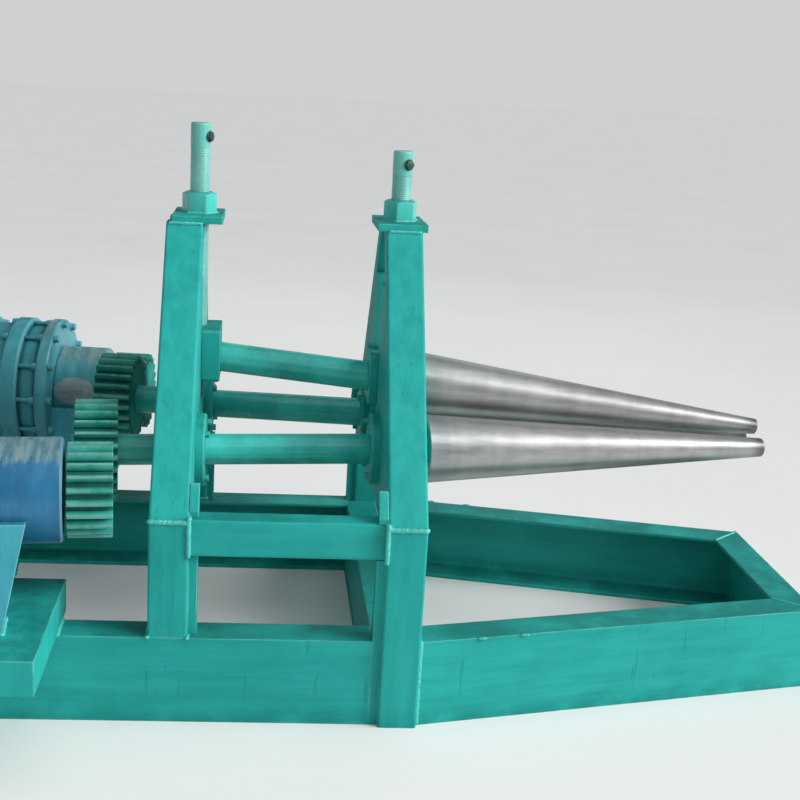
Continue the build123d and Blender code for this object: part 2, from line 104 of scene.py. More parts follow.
class Finish:
    """A material in the making, with one method that adds every kind of node."""

    def __init__(self, name):
        self.material = bpy.data.materials.new(name)
        self.material.use_nodes = True
        self.tree = self.material.node_tree
        self.tree.nodes.clear()
        self.place = self.add("ShaderNodeTexCoord", output="Object")

    def add(self, kind, settings=None, values=None, output=0):
        node = self.tree.nodes.new(kind)
        for key, setting in (settings or {}).items():
            setattr(node, key, setting)
        for key, value in (values or {}).items():
            if isinstance(value, Socket):
                self.tree.links.new(value.socket, node.inputs[key])
            else:
                node.inputs[key].default_value = value
        return Socket(self, node.outputs[output])

    def noise(self, scale, stretch=(1, 1, 1), detail=4.0, roughness=0.55, shift=(0, 0, 0)):
        """Cloudy noise with so many spots to a metre, squeezed along some axes."""
        mapping = {"Vector": self.place, "Location": shift, "Scale": stretch}
        mapped = self.add("ShaderNodeMapping", None, mapping)
        values = {"Vector": mapped, "Scale": scale, "Detail": detail, "Roughness": roughness}
        return self.add("ShaderNodeTexNoise", None, values)

    def mix(self, share, first, second):
        """One colour laid over another by a share between 0 and 1."""
        values = {0: share, 6: first, 7: second}
        return self.add("ShaderNodeMix", {"data_type": "RGBA"}, values, output=2)

    def vector(self, operation, first, second=(0, 0, 0), output=0):
        return self.add("ShaderNodeVectorMath", {"operation": operation}, {0: first, 1: second}, output)

    def facing(self, direction):
        """How squarely the surface looks along a direction: 1 along it, 0 across and -1 away."""
        surface = self.add("ShaderNodeTexCoord", output="Normal")
        return self.vector("DOT_PRODUCT", surface, tuple(direction), output="Value")

    def worn_and_lit_edge(self, radius, low, high):
        """The surface with its edges rounded off, and a value that rises to 1 on those edges."""
        rounded = self.add("ShaderNodeBevel", {"samples": 4}, {"Radius": radius})
        flat = self.add("ShaderNodeNewGeometry", output="Normal")
        turned = 1 - self.vector("DOT_PRODUCT", rounded, flat, output="Value")
        return rounded, turned.rising(low, high)

    def bump(self, height, distance, strength, surface=None):
        """Relief on the surface, or on the surface with its edges rounded off."""
        values = {"Height": height, "Distance": distance, "Strength": strength}
        if surface is not None:
            values["Normal"] = surface
        return self.add("ShaderNodeBump", None, values)

    def axis_distance(self, point, direction):
        """Distance of a place from the line through a point."""
        from_point = self.vector("SUBTRACT", self.place, tuple(point))
        across = self.vector("CROSS_PRODUCT", from_point, tuple(direction))
        return self.vector("LENGTH", across, output="Value")

    def along_axis(self, point, direction):
        """How far along a line a place lies, from the line's point."""
        from_point = self.vector("SUBTRACT", self.place, tuple(point))
        return self.vector("DOT_PRODUCT", from_point, tuple(direction), output="Value")

    def done(self, values):
        """The finished material, whose shader takes these values."""
        shader = self.add("ShaderNodeBsdfPrincipled", None, values)
        output = self.tree.nodes.new("ShaderNodeOutputMaterial")
        self.tree.links.new(shader.socket, output.inputs["Surface"])
        return self.material


def shade(*srgb):
    """A colour from its three display values, 0 to 255, in the linear values that nodes take."""
    scaled = [value / 255 for value in srgb]
    return tuple(v / 12.92 if v <= 0.04045 else ((v + 0.055) / 1.055) ** 2.4 for v in scaled) + (1.0,)


floor_size = 90.0
floor_shades = (shade(234, 234, 232), shade(243, 243, 241))
bpy.ops.mesh.primitive_plane_add(size=floor_size, location=(0, 0, 0))
floor = bpy.context.active_object
floor.name = "studio_floor"
ground = Finish("studio_floor")
floor_tone = ground.mix(ground.noise(1.4), *floor_shades)
floor.data.materials.append(ground.done({"Base Color": floor_tone, "Roughness": 0.8}))

seen_sky = shade(207, 208, 208)
sky_light = shade(205, 210, 216)
sky_strength = 0.36
world = bpy.data.worlds.new("studio_air")
scene.world = world
world.use_nodes = True
air = world.node_tree
air.nodes.clear()
rays = air.nodes.new("ShaderNodeLightPath")
seen = air.nodes.new("ShaderNodeBackground")
seen.inputs["Color"].default_value = seen_sky
around = air.nodes.new("ShaderNodeBackground")
around.inputs["Color"].default_value = sky_light
around.inputs["Strength"].default_value = sky_strength
choice = air.nodes.new("ShaderNodeMixShader")
sky = air.nodes.new("ShaderNodeOutputWorld")
air.links.new(rays.outputs["Is Camera Ray"], choice.inputs["Fac"])
air.links.new(around.outputs[0], choice.inputs[1])
air.links.new(seen.outputs[0], choice.inputs[2])
air.links.new(choice.outputs[0], sky.inputs["Surface"])


def aimed(place, target):
    """The turn that points a lamp at a place."""
    return (Vector(target) - Vector(place)).to_track_quat("-Z", "Y").to_euler()


sun_side = math.radians(72)
sun_height = math.radians(29)
sun_width = math.radians(38)
sun_power = 3.4
lamp_target = (0.0, 0.0, 0.35)
sun_place = Vector((math.sin(sun_side), -math.cos(sun_side), math.tan(sun_height)))
bpy.ops.object.light_add(type="SUN", location=3 * sun_place, rotation=aimed(sun_place, (0, 0, 0)))
sun = bpy.context.active_object
sun.name = "broad_sun"
sun.data.energy = sun_power
sun.data.angle = sun_width
for name, place, width, height, power in (
    ("roof_light", (0.2, -0.6, 3.2), 2.6, 2.6, 16.0),
    ("left_window", (-2.9, -2.6, 1.5), 1.6, 1.6, 6.0),
    ("back_window", (0.6, 3.4, 2.2), 2.6, 1.2, 6.0),
    ("front_strip", (0.9, -2.0, 2.5), 2.4, 0.16, 9.0),
):
    bpy.ops.object.light_add(type="AREA", location=place, rotation=aimed(place, lamp_target))
    lamp = bpy.context.active_object
    lamp.name = name
    lamp.data.shape = "RECTANGLE"
    lamp.data.size = width
    lamp.data.size_y = height
    lamp.data.energy = power


# Base frame: rolled channel steel, mitred at the corners, welded and then brushed with green enamel
# where it lay. The paint ran on the webs and the lower edges stayed grimy; the flat tops are darkened
# with painted shade, and the edges carry a painted highlight.
dull_iron = shade(70, 84, 76)
grey_dust = shade(120, 138, 124)
painted_shade_colour = shade(10, 46, 50)
splash_height = 0.038


def enamel(
    name, paint, strokes=(5, 5, 0.4), gloss=0.34, shine=0.17, low_grime=True, chips=True, painted_shade_share=None
):
    """Enamel in a paint's light, dark, worn-and-lit and deep tones: brush strokes one way, runs down the
    faces, painted shade on flat tops, scuffs, and edges worn thin and lightened by a painted highlight."""
    light, dark, worn_and_lit, deep = paint
    finish = Finish(name)
    broad = finish.noise(2.4, detail=3.0, shift=(5, 3, 2))
    patches = finish.noise(17.0, detail=5.0, shift=(3, 1, 7))
    brushed = finish.noise(11.0, stretch=strokes, detail=5.0, roughness=0.6)
    tone = (0.35 * broad + 0.25 * patches + 0.45 * brushed).rising(0.28, 0.72)
    colour = finish.mix(tone, dark, light)
    drip = finish.noise(30.0, stretch=(3.4, 3.4, 0.3), detail=1.0, shift=(1, 6, 4)).rising(0.70, 0.74)
    colour = finish.mix(0.2 * drip, colour, deep)
    scratches = finish.noise(24.0, stretch=(0.5, 0.5, 10), detail=6.0, roughness=0.7).rising(0.68, 0.76)
    colour = finish.mix(0.2 * scratches, colour, worn_and_lit)
    spots = finish.noise(64.0, detail=3.0, shift=(9, 4, 2)).rising(0.73, 0.78)
    colour = finish.mix(0.6 * spots, colour, deep)
    # Edges turn pale in the worn-and-lit tone: paint worn thin there, and a painted highlight.
    round_edge, edge = finish.worn_and_lit_edge(radius=0.0034, low=0.01, high=0.16)
    thin_and_highlit = edge * (0.25 + 0.6 * finish.noise(14.0, detail=4.0, shift=(7, 7, 1)).rising(0.35, 0.65))
    colour = finish.mix(thin_and_highlit, colour, worn_and_lit)
    if chips:
        bare = edge * finish.noise(80.0, detail=2.0).rising(0.65, 0.68)
        colour = finish.mix(0.8 * bare, colour, dull_iron)
    # Upward faces darken in cloudy patches: painted shade on the flat tops.
    upward = finish.facing((0, 0, 1)).rising(0.6, 0.95)
    cloud = finish.noise(8.0, detail=6.0, roughness=0.65, shift=(2, 2, 2))
    painted_shade = upward * cloud.rising(0.30, 0.62)
    colour = finish.mix(0.65 * painted_shade, colour, deep)
    dust = upward * finish.noise(30.0, detail=6.0, roughness=0.7, shift=(5, 2, 2)).rising(0.52, 0.72)
    colour = finish.mix(0.09 * dust, colour, grey_dust)
    rough = gloss + 0.12 * patches + 0.20 * dust + 0.08 * scratches
    # An optional share of painted shade, darkening recesses such as the reducers' grooves.
    if painted_shade_share:
        colour = finish.mix(painted_shade_share(finish), colour, painted_shade_colour)
    if low_grime:
        height = finish.vector("DOT_PRODUCT", finish.place, (0, 0, 1), output="Value")
        near_floor = 1 - height.rising(0.0, splash_height)
        low = near_floor * finish.noise(18.0, detail=6.0).rising(0.32, 0.60)
        colour = finish.mix(0.4 * low, colour, deep)
        rough = rough + 0.3 * low
    peel = finish.noise(260.0, detail=2.0)
    relief = 0.45 * brushed + 0.25 * patches + 0.10 * peel + 0.30 * drip
    bump = finish.bump(relief, distance=0.0014, strength=0.5, surface=round_edge)
    body = {"Base Color": colour, "Roughness": rough, "Normal": bump, "Specular IOR Level": shine}
    return finish.done(body)


def finish_node(node, material):
    """A CAD piece takes its material."""
    frame["nodes"][node].material_slots[0].material = material


# Each paint lists light, dark, worn-and-lit and deep tones; the third is the pale tone of worn paint and
# of painted edge highlights.
green = (shade(42, 174, 166), shade(24, 146, 139), shade(132, 226, 212), shade(10, 98, 90))
# Welds and nuts take a lighter copy of the frame green: a painted highlight on the beads.
highlit_weld_green = (shade(84, 210, 198), shade(44, 172, 160), shade(128, 228, 216), shade(16, 112, 104))
rail_enamel = enamel("rail_enamel", green, strokes=(0.35, 1.5, 5), gloss=0.42)
cross_enamel = enamel("cross_enamel", green, strokes=(1.5, 0.35, 5), gloss=0.42)
green_enamel = enamel("green_enamel", green, gloss=0.55)
highlit_weld_enamel = enamel("highlit_weld_enamel", highlit_weld_green, gloss=0.2, shine=0.5, chips=False)
for node in ("front_sill", "rear_sill", "nose_front_rail", "nose_rear_rail"):
    finish_node(node, rail_enamel)
for node in ("left_end_sill", "cross_sill", "nose_end_rail"):
    finish_node(node, cross_enamel)


def settle(piece):
    """Puts a piece's place, turn and scale into its mesh."""
    bpy.ops.object.select_all(action="DESELECT")
    piece.select_set(True)
    bpy.context.view_layer.objects.active = piece
    bpy.ops.object.transform_apply(location=True, rotation=True, scale=True)


def laid(piece, matrix):
    """A copy of a piece, with a mesh of its own, put somewhere else."""
    copy = piece.copy()
    copy.data = piece.data.copy()
    scene.collection.objects.link(copy)
    copy.matrix_world = matrix @ piece.matrix_world
    settle(copy)
    return copy


def merged(pieces):
    """Pieces made one mesh."""
    bpy.ops.object.select_all(action="DESELECT")
    for piece in pieces:
        piece.select_set(True)
    bpy.context.view_layer.objects.active = pieces[0]
    if len(pieces) > 1:
        bpy.ops.object.join()
    return bpy.context.active_object


def joined(pieces, name, material, body="base", crease=40):
    """Pieces made one, named, painted and set to ride on a body."""
    piece = merged(pieces)
    piece.name = name
    piece.data.name = name
    piece.data.materials.clear()
    piece.data.materials.append(material)
    bpy.ops.object.shade_smooth_by_angle(angle=math.radians(crease))
    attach(piece, body)
    return piece


bead_count = 0
ripple_step = 0.55
ripple_wobble = 0.3
ripple_shape = (0.8, 1.0, 0.85)


def weld(start, end, size=0.0038):
    """A weld run between two points: overlapping uneven ripples, half sunk in the joint."""
    global bead_count
    bead_count += 1
    start = Vector(start)
    run = Vector(end) - start
    step = size * ripple_step
    bpy.ops.mesh.primitive_uv_sphere_add(segments=8, ring_count=5, radius=size, location=(0, 0, 0))
    bead = bpy.context.active_object
    bpy.ops.object.mode_set(mode="EDIT")
    bpy.ops.mesh.select_all(action="SELECT")
    bpy.ops.transform.resize(value=ripple_shape)
    bpy.ops.object.mode_set(mode="OBJECT")
    row = bead.modifiers.new("row", "ARRAY")
    row.count = max(2, int(run.length / step) + 1)
    row.use_relative_offset = False
    row.use_constant_offset = True
    row.constant_offset_displace = (run.length / (row.count - 1), 0, 0)
    bpy.ops.object.modifier_apply(modifier="row")
    bpy.ops.object.mode_set(mode="EDIT")
    bpy.ops.mesh.select_all(action="SELECT")
    bpy.ops.transform.vertex_random(offset=size * ripple_wobble, seed=bead_count)
    bpy.ops.object.mode_set(mode="OBJECT")
    bead.matrix_world = Matrix.Translation(start) @ run.to_track_quat("X", "Z").to_matrix().to_4x4()
    settle(bead)
    return bead


sill_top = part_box("front_sill")[1].z
front_face = -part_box("front_sill")[0].y
left_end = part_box("left_end_sill")[0].x
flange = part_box("left_end_sill")[1].x - left_end
nose_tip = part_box("nose_end_rail")[1].x
tip_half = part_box("nose_end_rail")[1].y
nose_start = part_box("nose_front_rail")[0].x
nose_slope = math.atan2(front_face - tip_half, nose_tip - nose_start)
inner_tip = tip_half - flange / math.cos(nose_slope) + flange * math.tan(nose_slope)
frame_bead = 0.003
foot_gap = 0.004
tip_trim = 0.0035
tack_places = (0.095, 0.165)
tack_drop = 0.001
tack_length = 0.009
frame_beads = []
for side in (-1, 1):
    corner = (left_end, side * front_face)
    inner_corner = (left_end + flange, side * (front_face - flange), sill_top)
    inner_tip_corner = (nose_tip - flange, side * inner_tip, sill_top)
    tip = (nose_tip - tip_trim, side * tip_half)
    for post, top_end in ((corner, inner_corner), (tip, inner_tip_corner)):
        frame_beads.append(weld((*post, foot_gap), (*post, sill_top), frame_bead))
        frame_beads.append(weld((*post, sill_top), top_end, frame_bead))
    for from_start in tack_places:
        tack_x = nose_start + from_start
        tack_y = side * (front_face - from_start * math.tan(nose_slope))
        tack_end = (tack_x + tack_length, tack_y, sill_top - tack_drop)
        frame_beads.append(weld((tack_x, tack_y, sill_top - tack_drop), tack_end, frame_bead))
joined(frame_beads, "base_frame_welds", highlit_weld_enamel, crease=80)

# Stands: legs of box section bent inwards at the knee, where they were cut and welded again, with
# flat bars beside them. A tie joins the front legs, and welded cap plates hold the tops together.
leg_width = 0.060
leg_depth = 0.040
bend_height = 0.325
leg_top_reach = 0.066
bar_thickness = 0.014
knee_bead = 0.005
knee_side_bead = 0.0026
knee_sink = 0.001
foot_bead = 0.004
sill_bead = 0.0054
sill_bead_gap = 0.005
cap_bead = 0.0034
tie_bead = 0.0046
bead_trim = 0.003
cap_trim = 0.004
tie_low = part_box("front_tie")[0].z
tie_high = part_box("front_tie")[1].z
for stand in (1, 2):
    for part in ("front_leg", "rear_leg", "cap_plate"):
        finish_node(f"stand_{stand}_{part}", green_enamel)
finish_node("front_tie", rail_enamel)

for stand, inward in ((1, 1), (2, -1)):
    low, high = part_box(f"stand_{stand}_front_leg")
    left = low.x if inward > 0 else low.x + bar_thickness
    right = left + leg_width
    face = -low.y
    foot = low.z
    cap_underside = high.z
    tilt = math.atan2(face - leg_top_reach, cap_underside - bend_height)
    inner_bend = bend_height - leg_depth * math.tan(tilt / 2)
    inner_face = face - leg_depth
    barred = right if inward > 0 else left
    beads = []
    for side in (-1, 1):
        outer = side * face
        knee_y = side * (face - knee_sink)
        knee_start = (left + bead_trim, knee_y, bend_height)
        knee_end = (right - bead_trim, knee_y, bend_height)
        beads.append(weld(knee_start, knee_end, knee_bead))
        for x in (left, right):
            bend_end = (x, side * inner_face, inner_bend)
            beads.append(weld((x, knee_y, bend_height), bend_end, knee_side_bead))
        if stand == 1:
            for x in (left, right):
                beads.append(weld((x, outer, foot), (x, side * inner_face, foot), foot_bead))
            foot_start = (left, side * inner_face, foot)
            beads.append(weld(foot_start, (right, side * inner_face, foot), foot_bead))
        else:
            sill_start = (right, side * front_face, sill_bead_gap)
            beads.append(weld(sill_start, (right, side * front_face, sill_top), sill_bead))
        top_y = side * leg_top_reach
        cap_start = (left + 2 * bead_trim, top_y, cap_underside)
        cap_end = (right - cap_trim, top_y, cap_underside)
        beads.append(weld(cap_start, cap_end, cap_bead))
        if side < 0:
            tie_corner = (barred, outer, tie_high)
            beads.append(weld((barred, outer, tie_low), tie_corner, tie_bead))
            beads.append(weld(tie_corner, (barred, side * inner_face, tie_high), foot_bead))
    joined(beads, f"stand_{stand}_welds", highlit_weld_enamel, crease=80)

# Bearing plates and housings: a thick plate cut to fit between the legs, and turned housings that
# are bolted to it. Both were painted with the frame, bolts and all.
for stand in (1, 2):
    for part in ("bearing_plate", "front_housing", "rear_housing"):
        finish_node(f"stand_{stand}_{part}", green_enamel)

washer_share = 0.16
washer_overhang = 1.12
washer_rim_share = 0.3
corner_share = 0.05


def hex_bolt(across_flats, head_height):
    """A hexagon bolt head on its washer, pointing up from the origin, with its corners turned off."""
    radius = across_flats / math.sqrt(3)
    washer = across_flats * washer_share
    bpy.ops.mesh.primitive_cylinder_add(vertices=6, radius=radius, depth=head_height)
    head = bpy.context.active_object
    bpy.ops.object.mode_set(mode="EDIT")
    bpy.ops.mesh.select_all(action="SELECT")
    bpy.ops.transform.translate(value=(0, 0, washer + head_height / 2))
    bpy.ops.mesh.bevel(offset=across_flats * corner_share, segments=2)
    washer_middle = (0, 0, washer / 2)
    bpy.ops.mesh.primitive_cylinder_add(
        vertices=24, radius=radius * washer_overhang, depth=washer, location=washer_middle
    )
    bpy.ops.mesh.bevel(offset=washer * washer_rim_share, segments=1)
    bpy.ops.object.mode_set(mode="OBJECT")
    return head


def placed(centre, direction):
    """The place and turn of a piece that points along a direction."""
    return Matrix.Translation(centre) @ Vector(direction).to_track_quat("Z", "X").to_matrix().to_4x4()


def circle_of(piece, centre, direction, radius, count, phase=0.0):
    """Copies of a piece round a centre, all pointing along a direction."""
    copies = []
    for index in range(count):
        angle = phase + 2 * math.pi * index / count
        offset = Matrix.Translation((radius * math.cos(angle), radius * math.sin(angle), 0))
        copies.append(laid(piece, placed(centre, direction) @ offset))
    return copies


housing_bolt_head = (0.010, 0.0055)
housing_bolt_radius = 0.0515
housing_bolt_count = 4
housing_bolt = hex_bolt(*housing_bolt_head)
for stand, inward in ((1, 1), (2, -1)):
    bolts = []
    for side in ("front", "rear"):
        low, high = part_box(f"stand_{stand}_{side}_housing")
        face_x = high.x if inward > 0 else low.x
        centre = (face_x, (low.y + high.y) / 2, (low.z + high.z) / 2)
        bolts += circle_of(
            housing_bolt, centre, (inward, 0, 0), housing_bolt_radius, housing_bolt_count, math.pi / 4
        )
    joined(bolts, f"stand_{stand}_housing_bolts", green_enamel)
bpy.data.objects.remove(housing_bolt)

# Sliding blocks and nuts: the blocks hang on the screws between the legs, and the nuts are welded to
# the cap plates all round. Everything was painted over.
# The nuts share the welds' lighter enamel, a painted highlight.
for stand in (1, 2):
    finish_node(f"top_block_{stand}", green_enamel)
    finish_node(f"stand_{stand}_nut", highlit_weld_enamel)

nut_sides = 6
nut_across_flats = 0.050
nut_bead = 0.0032
nut_turn = {1: math.radians(-6), 2: math.radians(13)}
for stand in (1, 2):
    low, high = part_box(f"stand_{stand}_nut")
    centre = Vector(((low.x + high.x) / 2, (low.y + high.y) / 2, low.z))
    corners = []
    for index in range(nut_sides + 1):
        angle = nut_turn[stand] + index * 2 * math.pi / nut_sides
        outwards = Vector((math.cos(angle), math.sin(angle), 0))
        corners.append(centre + nut_across_flats / math.sqrt(3) * outwards)
    nut_beads = [weld(corners[side], corners[side + 1], nut_bead) for side in range(nut_sides)]
    joined(nut_beads, f"stand_{stand}_nut_weld", highlit_weld_enamel, crease=80)

# Adjusting screws: long steel screws with a cut thread and a plain top, painted over in pale green that
# also carries a painted highlight.
# A dark bolt in the cross hole near the top serves to turn each by hand.
thread_pitch = 0.0035
thread_root = 0.0156
thread_steps = 24
screw_tip_radius = 0.012
screw_tip_length = 0.018
screw_top_length = 0.040
screw_edge = 0.002
hole_radius = 0.005
drill_length = 0.05
hole_drop = 0.022
pin_radius = 0.0047
pin_edge = 0.0008
pin_play = 0.001
thread_form = (0.1, 0.6)
pin_head = (0.0145, 0.003)
hole_turn = {1: math.radians(-24), 2: math.radians(-58)}
# The screws' paint is paler than the frame's: pale paint and a painted highlight.
highlit_screw_paint = (shade(116, 200, 190), shade(84, 174, 164), shade(176, 238, 228), shade(28, 110, 102))
highlit_screw_enamel = enamel("highlit_screw_enamel", highlit_screw_paint, gloss=0.2, shine=0.5, low_grime=False, chips=False)


def pick(piece, domain, wanted):
    """Selects a mesh's vertices, edges or faces by a test, and leaves the piece in edit mode."""
    kinds = {"VERT": piece.data.vertices, "EDGE": piece.data.edges, "FACE": piece.data.polygons}
    bpy.ops.object.mode_set(mode="EDIT")
    bpy.ops.mesh.select_mode(type=domain)
    bpy.ops.mesh.select_all(action="DESELECT")
    bpy.ops.object.mode_set(mode="OBJECT")
    for element in kinds[domain]:
        element.select = wanted(element)
    bpy.ops.object.mode_set(mode="EDIT")


def softened(offset, segments, lift=0.0):
    """Lifts the active piece and rounds all its edges."""
    bpy.ops.object.mode_set(mode="EDIT")
    bpy.ops.mesh.select_all(action="SELECT")
    bpy.ops.transform.translate(value=(0, 0, lift))
    bpy.ops.mesh.bevel(offset=offset, segments=segments)
    bpy.ops.object.mode_set(mode="OBJECT")


def drawn_up(step, scale=1.0):
    """Draws the selected face up by a step and scales its outline."""
    bpy.ops.mesh.extrude_region_move(TRANSFORM_OT_translate={"value": (0, 0, step)})
    bpy.ops.transform.resize(value=(scale, scale, 1))


def carved(piece, tool, operation):
    """Cuts a piece with a tool, and takes the tool away."""
    carving = piece.modifiers.new("carving", "BOOLEAN")
    carving.operation = operation
    carving.object = tool
    bpy.context.view_layer.objects.active = piece
    bpy.ops.object.modifier_apply(modifier="carving")
    bpy.data.objects.remove(tool)


for stand in (1, 2):
    low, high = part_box(f"screw_{stand}")
    crest = (high.x - low.x) / 2
    seat = low.z + screw_tip_length
    thread_top = high.z - screw_top_length
    tip_middle = (0, 0, seat - screw_tip_length / 2)
    bpy.ops.mesh.primitive_cylinder_add(
        vertices=48, radius=screw_tip_radius, depth=screw_tip_length, location=tip_middle
    )
    screw = bpy.context.active_object
    pick(screw, "FACE", lambda side_face: side_face.normal.z > 0.9)
    drawn_up(0.0, thread_root / screw_tip_radius)
    drawn_up(thread_top - seat)
    drawn_up(0.0, crest / thread_root)
    drawn_up(screw_top_length - screw_edge)
    drawn_up(screw_edge, (crest - screw_edge) / crest)
    bpy.ops.object.mode_set(mode="OBJECT")

    bpy.ops.mesh.primitive_cylinder_add(vertices=24, radius=hole_radius, depth=drill_length)
    drill = bpy.context.active_object
    drill.rotation_euler = (0, math.pi / 2, 0)
    drill.location.z = high.z - hole_drop
    settle(drill)
    carved(screw, drill, "DIFFERENCE")

    bpy.ops.mesh.primitive_plane_add(size=thread_pitch, rotation=(math.pi / 2, 0, 0))
    thread = bpy.context.active_object
    thread.location = (thread_root + thread_pitch / 2, 0, seat + thread_pitch / 2)
    settle(thread)
    pick(thread, "VERT", lambda point: point.co.x > thread_root + thread_pitch / 2)
    bpy.ops.mesh.delete(type="VERT")
    bpy.ops.mesh.select_all(action="SELECT")
    bpy.ops.mesh.subdivide(number_cuts=3)
    bpy.ops.object.mode_set(mode="OBJECT")
    crest_low, crest_high = (seat + share * thread_pitch for share in thread_form)
    pick(thread, "VERT", lambda point: crest_low < point.co.z < crest_high)
    bpy.ops.transform.translate(value=(crest - thread_root, 0, 0))
    bpy.ops.object.mode_set(mode="OBJECT")
    wound = thread.modifiers.new("wound", "SCREW")
    wound.screw_offset = thread_pitch
    wound.iterations = int((thread_top - seat) / thread_pitch)
    wound.steps = thread_steps
    wound.render_steps = thread_steps
    wound.use_merge_vertices = True
    bpy.ops.object.modifier_apply(modifier="wound")
    bpy.ops.object.mode_set(mode="EDIT")
    bpy.ops.mesh.select_all(action="SELECT")
    bpy.ops.mesh.normals_make_consistent(inside=False)
    bpy.ops.object.mode_set(mode="OBJECT")

    standing = Matrix.Translation(((low.x + high.x) / 2, 0, 0))
    standing @= Matrix.Rotation(hole_turn[stand], 4, "Z")
    for piece in (screw, thread):
        piece.matrix_world = standing @ piece.matrix_world
        settle(piece)
    joined([screw, thread], f"threaded_screw_{stand}", highlit_screw_enamel, f"screw_{stand}")
    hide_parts(f"screw_{stand}")

    pin_length = 2 * crest - pin_play
    bpy.ops.mesh.primitive_cylinder_add(vertices=20, radius=pin_radius, depth=pin_length)
    pin = bpy.context.active_object
    softened(pin_edge, 2)
    head = hex_bolt(*pin_head)
    head.location.z = crest - pin_edge
    settle(head)
    lying = standing @ Matrix.Translation((0, 0, high.z - hole_drop))
    lying @= Matrix.Rotation(math.pi / 2, 4, "Y")
    for piece in (pin, head):
        piece.matrix_world = lying @ piece.matrix_world
        settle(piece)
    pin_finish = Finish(f"screw_{stand}_pin_finish")
    pin_cloud = pin_finish.noise(90.0, detail=5.0)
    pin_tone = pin_finish.mix(pin_cloud.rising(0.35, 0.65), shade(16, 44, 38), shade(34, 84, 74))
    pin_body = {"Base Color": pin_tone, "Roughness": 0.35 + 0.3 * pin_cloud}
    joined([pin, head], f"screw_{stand}_pin", pin_finish.done(pin_body), f"screw_{stand}")

# Rolls: turned and ground steel cones on round shafts. The shafts were painted with the stands, in a
# lighter green that carries a painted sheen, and the cones stayed bright, with fine turning rings,
# lengthwise streaks of painted reflection, a painted green reflection by the big end and a darker tip.
joints = {joint["name"]: joint for joint in frame["joints"]}
cone_start = 0.046
cone_end = 0.654
dark_tip = 0.032
green_reflection_end = 0.10
tip_fade = 0.004
centre_hole_radius = 0.0032
hole_fade = 0.0006
paint_line = (0.0003, 0.0012)
paint_wander = 0.004


def spin_line(joint):
    """A point on a joint's axis, and the axis's direction."""
    return Vector(joints[joint]["pos_m"]), Vector(joints[joint]["axis"]).normalized()


def roll_finish(name, joint):
    """Enamel on the shaft and bright turned steel on the cone."""
    point, axis = spin_line(joint)
    finish = Finish(name)
    run = finish.along_axis(point, axis)
    from_axis = finish.axis_distance(point, axis)
    ring_place = finish.add("ShaderNodeCombineXYZ", None, {"X": run})
    ring_values = {"Vector": ring_place, "Scale": 850.0, "Detail": 3.0}
    rings = finish.add("ShaderNodeTexNoise", None, ring_values)
    band_values = {"Vector": ring_place, "Scale": 34.0, "Detail": 5.0, "Roughness": 0.6}
    bands = finish.add("ShaderNodeTexNoise", None, band_values)
    # Lengthwise streaks along the cone: painted reflection, dark where strong; they also vary roughness
    # and relief.
    reflection_streaks = finish.noise(26.0, stretch=(0.3, 4, 4), detail=6.0, roughness=0.65)
    smudge = finish.noise(10.0, detail=5.0, shift=(4, 8, 1))
    tone = (0.3 * bands + 0.4 * reflection_streaks + 0.3 * smudge).rising(0.34, 0.66)
    steel = finish.mix(tone, shade(156, 157, 156), shade(190, 191, 190))
    steel = finish.mix(0.30 * reflection_streaks.rising(0.62, 0.74), steel, shade(120, 118, 110))
    tip = run.rising(cone_end - dark_tip, cone_end - tip_fade)
    steel = finish.mix(0.7 * tip, steel, shade(74, 76, 76))
    scored = bands.rising(0.60, 0.66) * rings.rising(0.45, 0.6)
    steel = finish.mix(0.25 * scored, steel, shade(96, 96, 94))
    # Near the big end the steel takes a painted green reflection of the green parts beside it.
    green_reflection = (1 - run.rising(cone_start, green_reflection_end)) * smudge.rising(0.30, 0.58)
    steel = finish.mix(0.45 * green_reflection, steel, shade(84, 148, 140))
    # A near-black disc at the tip: painted shade standing in for the drilled centre hole.
    centre_hole_shade = 1 - from_axis.rising(centre_hole_radius, centre_hole_radius + hole_fade)
    steel = finish.mix(centre_hole_shade, steel, shade(26, 26, 26))
    # The shaft paint is a lighter copy of the frame green: a painted sheen.
    coat = finish.noise(13.0, detail=5.0)
    paint = finish.mix(coat.rising(0.35, 0.65), shade(36, 168, 158), shade(58, 200, 188))
    ragged = run + paint_wander * (finish.noise(60.0, detail=3.0) - 0.5)
    bare = ragged.rising(cone_start + paint_line[0], cone_start + paint_line[1])
    colour = finish.mix(bare, paint, steel)
    steel_rough = 0.26 + 0.16 * reflection_streaks + 0.06 * bands
    rough = bare * steel_rough + (1 - bare) * (0.22 + 0.12 * coat)
    relief = bare * (0.5 * rings + 0.2 * reflection_streaks) + (1 - bare) * (0.8 * coat)
    bump = finish.bump(relief, distance=0.0004, strength=0.35)
    body = {"Base Color": colour, "Metallic": 0.78 * bare, "Roughness": rough, "Normal": bump}
    return finish.done(body)


finish_node("front_bottom_roll", roll_finish("front_roll_finish", "front_roll_spin"))
finish_node("rear_bottom_roll", roll_finish("rear_roll_finish", "rear_roll_spin"))
finish_node("top_roll", roll_finish("top_roll_finish", "top_roll_spin"))

# Gears: cut steel gears painted with the frame. Meshing has rubbed the paint thin on the tooth tips,
# which also carry a painted highlight, as do the edges, and old grease darkens the roots.
gear_module = 0.006
roll_teeth = 25
pinion_teeth = 22


